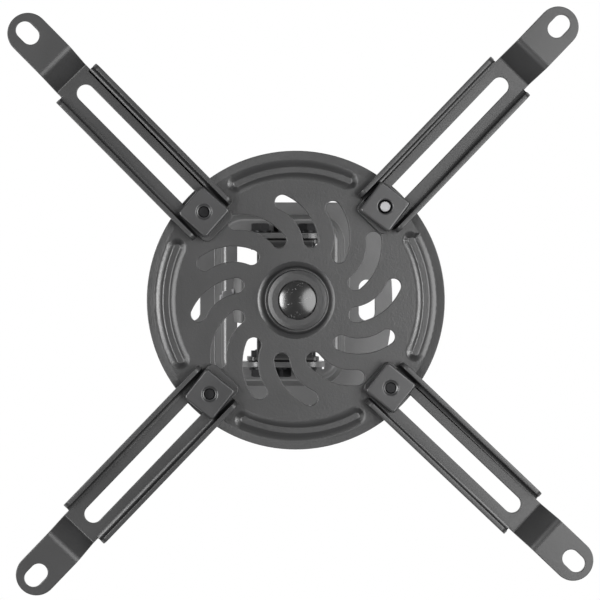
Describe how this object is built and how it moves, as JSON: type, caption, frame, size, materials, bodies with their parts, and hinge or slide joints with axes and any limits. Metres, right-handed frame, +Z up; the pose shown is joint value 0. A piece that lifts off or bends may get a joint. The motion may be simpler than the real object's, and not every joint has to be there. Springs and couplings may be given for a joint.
{
  "type": "projector ceiling mount",
  "caption": "Ceiling mount that holds a projector on sliding, swinging slotted arms under a vented swivel disc, with tilt and roll joints above.",
  "frame": {"origin": "centre of the face that lies against the ceiling, midway between the two ceiling slots", "axes": "+Z up into the ceiling; X through the two ceiling slots and along the roll axis; Y along the tilt axis"},
  "size_m": [0.2449, 0.2455, 0.1213],
  "materials": {
    "ceiling_plate": "fine-grained semi-matt charcoal powder coat",
    "gimbal": "fine-grained semi-matt charcoal powder coat",
    "disc": "fine-grained semi-matt charcoal powder coat",
    "arm": "fine-grained semi-matt charcoal powder coat",
    "block": "satin charcoal coat on a cast block",
    "rivet": "glossy black coat, scuffed",
    "screw": "black zinc",
    "steel": "dull zinc",
    "nylon": "black nylon"
  },
  "bodies": {
    "ceiling_plate": {"ceiling_plate": "ceiling_plate"},
    "cross_yoke": {"cross_yoke": "gimbal", "tilt_pivot_bolts": "steel", "tilt_pivot_washers": "steel", "tilt_pivot_nuts": "steel", "tilt_lock_bolts": "steel", "tilt_lock_washers": "steel", "tilt_lock_nuts": "steel", "roll_pivot_bolts": "steel", "roll_pivot_washers": "steel", "roll_pivot_nuts": "steel"},
    "lower_bracket": {"lower_bracket": "gimbal", "swivel_rivet": "rivet", "swivel_collar": "disc", "swivel_spacer": "nylon", "swivel_washer": "steel"},
    "vented_disc": {"vented_disc": "disc"},
    "clamp_1": {"clamp_block_1": "block", "clamp_screw_1": "screw", "clamp_washer_1": "screw"},
    "arm_1": {"arm_1": "arm"},
    "clamp_2": {"clamp_block_2": "block", "clamp_screw_2": "screw", "clamp_washer_2": "screw"},
    "arm_2": {"arm_2": "arm"},
    "clamp_3": {"clamp_block_3": "block", "clamp_screw_3": "screw", "clamp_washer_3": "screw"},
    "arm_3": {"arm_3": "arm"},
    "clamp_4": {"clamp_block_4": "block", "clamp_screw_4": "screw", "clamp_washer_4": "screw"},
    "arm_4": {"arm_4": "arm"}
  },
  "joints": [
    {"name": "tilt", "type": "hinge", "parent": "ceiling_plate", "child": "cross_yoke", "pos_m": [0, 0, -0.019], "axis": [0, 1, 0], "range_deg": [-15, 15]},
    {"name": "roll", "type": "hinge", "parent": "cross_yoke", "child": "lower_bracket", "pos_m": [0, 0, -0.049], "axis": [1, 0, 0], "range_deg": [-8, 8]},
    {"name": "spin", "type": "hinge", "parent": "lower_bracket", "child": "vented_disc", "pos_m": [0, 0, -0.109], "axis": [0, 0, 1], "continuous": true},
    {"name": "arm_1_swing", "type": "hinge", "parent": "vented_disc", "child": "clamp_1", "pos_m": [0.03922, 0.03683, -0.11025], "axis": [0, 0, 1], "range_deg": [-28, 28]},
    {"name": "arm_1_slide", "type": "slide", "parent": "clamp_1", "child": "arm_1", "axis": [0.726, 0.6877, 0], "range_m": [-0.0272, 0.0012]},
    {"name": "arm_2_swing", "type": "hinge", "parent": "vented_disc", "child": "clamp_2", "pos_m": [-0.03683, 0.03922, -0.11025], "axis": [0, 0, 1], "range_deg": [-28, 28]},
    {"name": "arm_2_slide", "type": "slide", "parent": "clamp_2", "child": "arm_2", "axis": [-0.694, 0.7199, 0], "range_m": [-0.0251, 0.0033]},
    {"name": "arm_3_swing", "type": "hinge", "parent": "vented_disc", "child": "clamp_3", "pos_m": [-0.03922, -0.03683, -0.11025], "axis": [0, 0, 1], "range_deg": [-28, 28]},
    {"name": "arm_3_slide", "type": "slide", "parent": "clamp_3", "child": "arm_3", "axis": [-0.704, -0.7102, 0], "range_m": [-0.0252, 0.0032]},
    {"name": "arm_4_swing", "type": "hinge", "parent": "vented_disc", "child": "clamp_4", "pos_m": [0.03683, -0.03922, -0.11025], "axis": [0, 0, 1], "range_deg": [-28, 28]},
    {"name": "arm_4_slide", "type": "slide", "parent": "clamp_4", "child": "arm_4", "axis": [0.6934, -0.7206, 0], "range_m": [-0.0266, 0.0018]}
  ]
}
